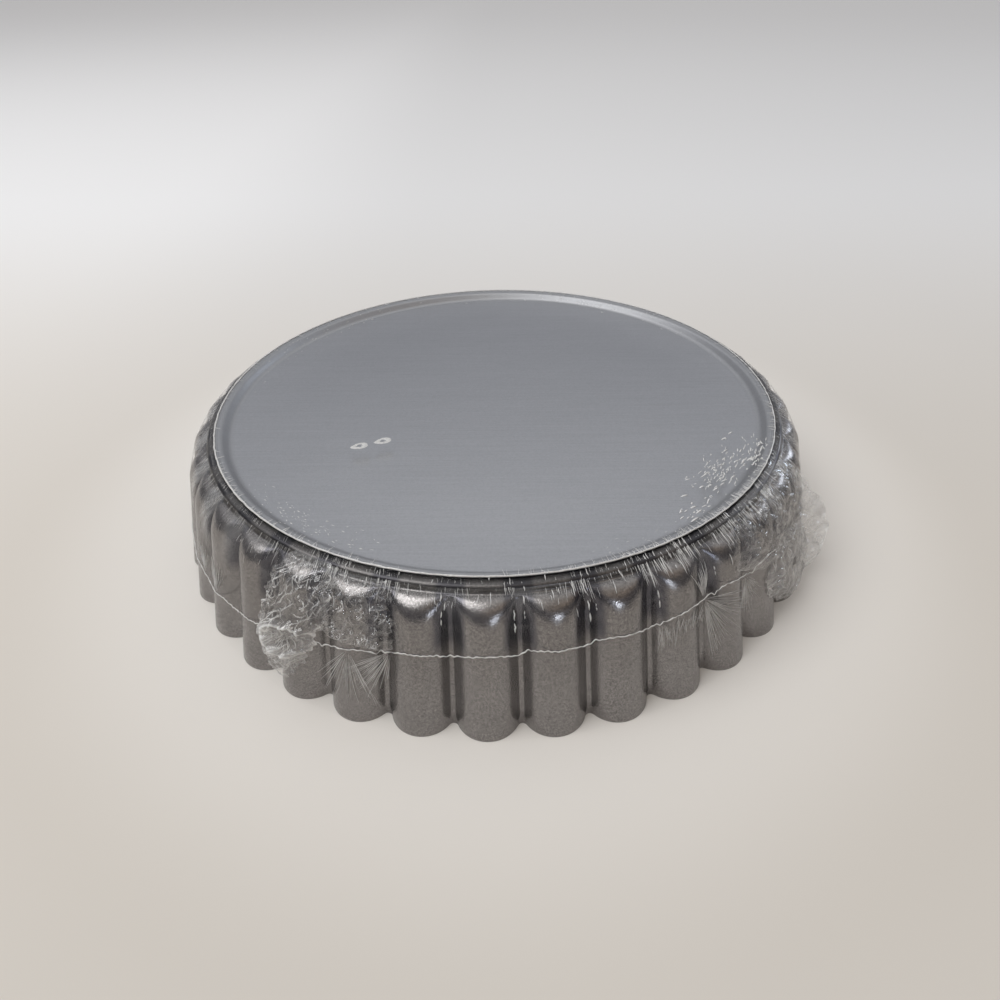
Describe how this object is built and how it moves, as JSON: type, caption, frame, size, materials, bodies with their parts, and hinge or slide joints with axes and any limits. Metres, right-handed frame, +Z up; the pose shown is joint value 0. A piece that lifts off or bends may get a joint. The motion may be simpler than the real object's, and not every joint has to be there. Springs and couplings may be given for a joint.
{
  "type": "fluted quiche dish",
  "caption": "Round fluted baking tin with a flared scalloped wall, domed shoulders and a loose drop-centre base, stored mouth down.",
  "frame": {"origin": "on the axis of the tin, in the plane of its scalloped mouth, which lies on the table", "axes": "+Z up along the axis, from the mouth to the base; a flute's crest lies on +X, -X, +Y and -Y"},
  "size_m": [0.25, 0.25, 0.0488],
  "materials": {
    "non_stick_coating": "dark satin non-stick coating with a fine speckle",
    "bare_steel": "satin rolled steel with fine straight lines",
    "clear_film": "clear thin shrink film"
  },
  "bodies": {
    "ring": {"fluted_ring": "non_stick_coating"},
    "base": {"loose_base": "bare_steel"}
  },
  "joints": [
    {"name": "base_lift", "type": "slide", "parent": "ring", "child": "base", "axis": [0, 0, 1], "range_m": [0, 0.06]}
  ]
}
